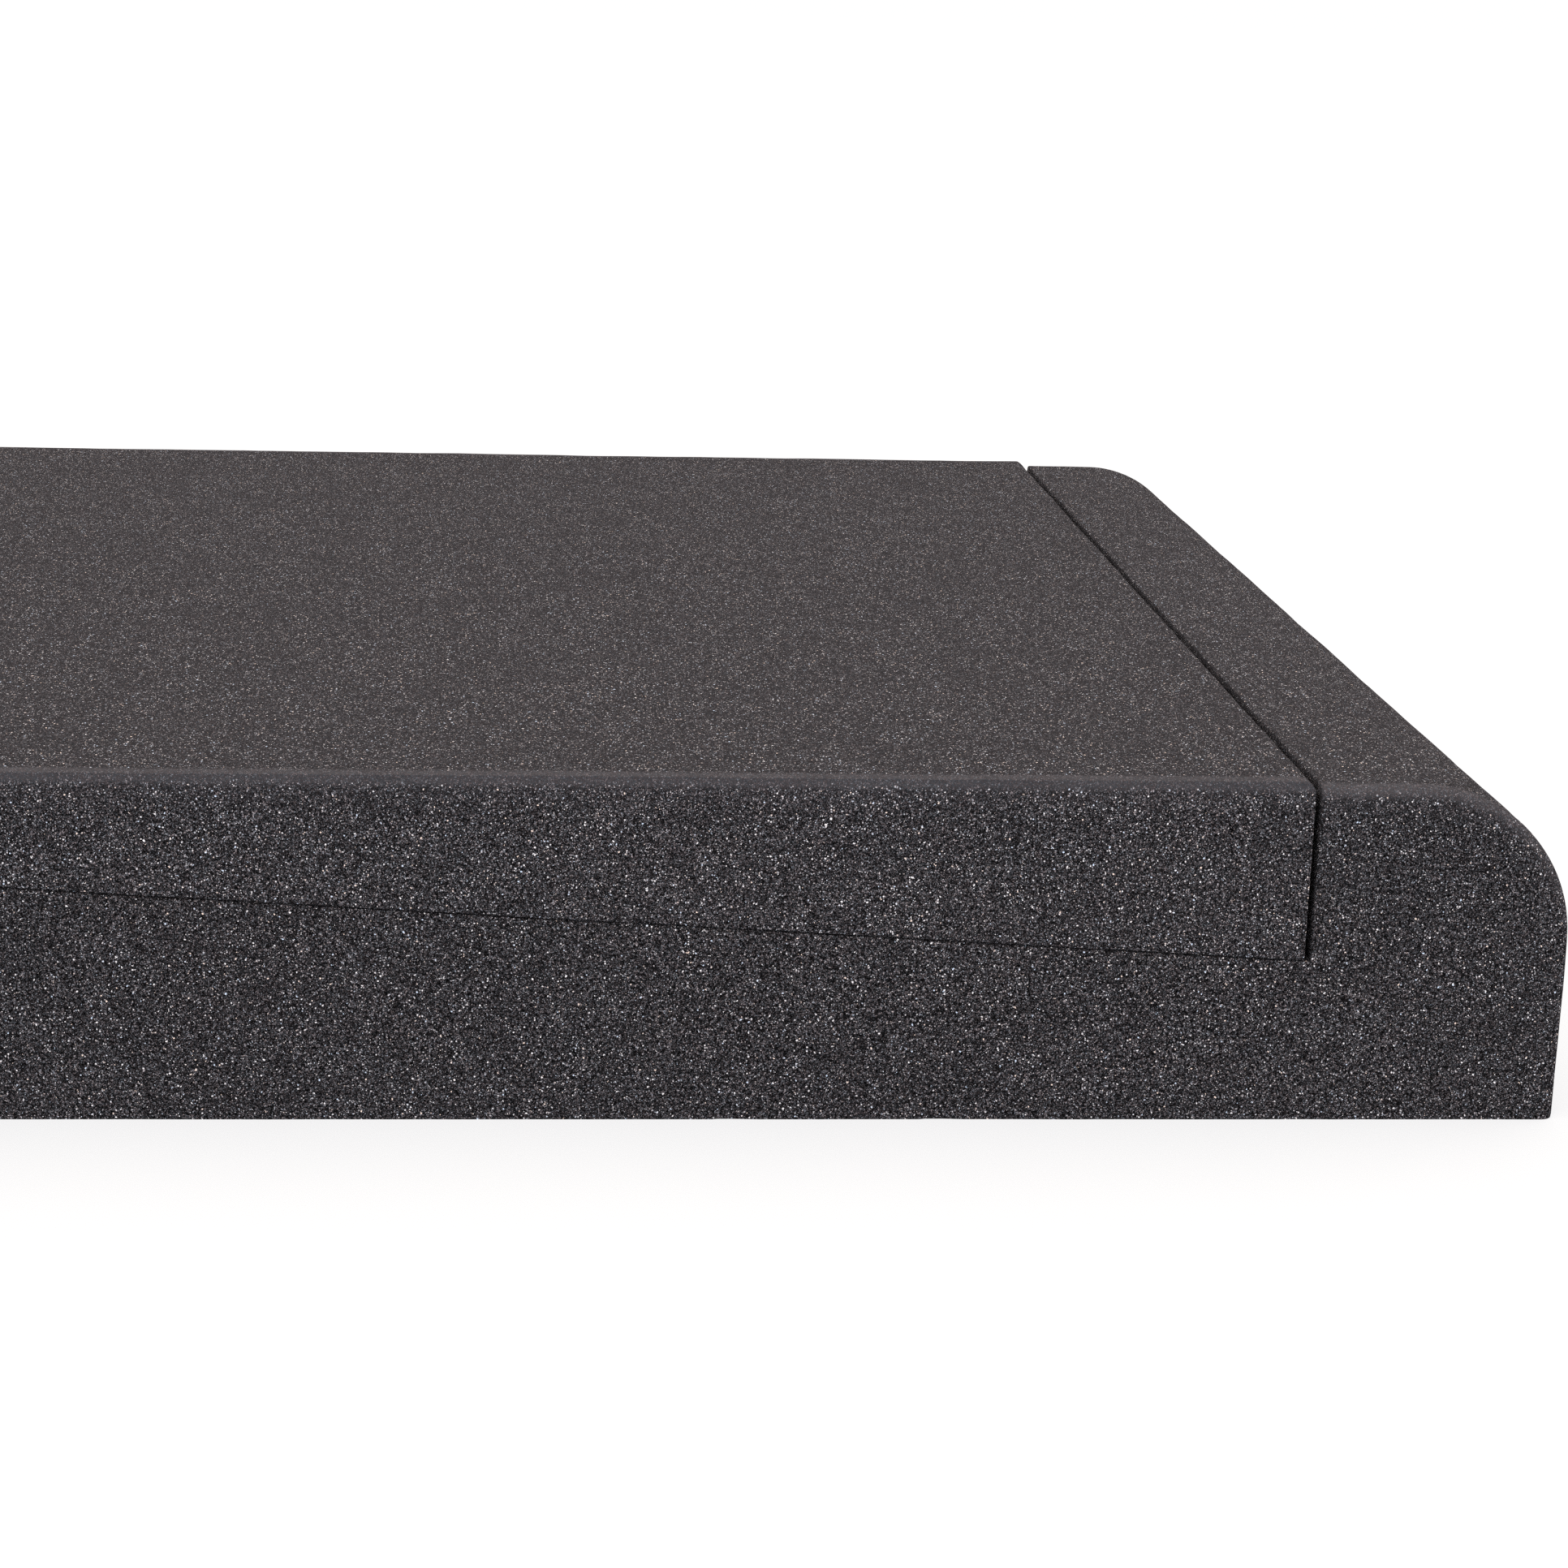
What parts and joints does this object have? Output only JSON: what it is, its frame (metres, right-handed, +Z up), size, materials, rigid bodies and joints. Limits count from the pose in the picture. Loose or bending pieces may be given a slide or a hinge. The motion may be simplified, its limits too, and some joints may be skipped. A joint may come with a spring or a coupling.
{
  "type": "speaker isolation pad",
  "caption": "Rectangular foam pad with rounded end rails and a loose wedge insert that lies in its sloping seat, to stand under a studio monitor and set its tilt.",
  "frame": {"origin": "centre of the flat underside, where the pad rests on a desk or stand", "axes": "+X along the taper towards the insert's thick end, +Y across the pad, +Z up"},
  "size_m": [0.33, 0.27, 0.0458],
  "materials": {
    "foam": "charcoal open-cell polyurethane foam, dull, with fine cells and glinting cell walls"
  },
  "bodies": {
    "root": {"base_pad": "foam", "wedge_insert": "foam"}
  },
  "joints": []
}
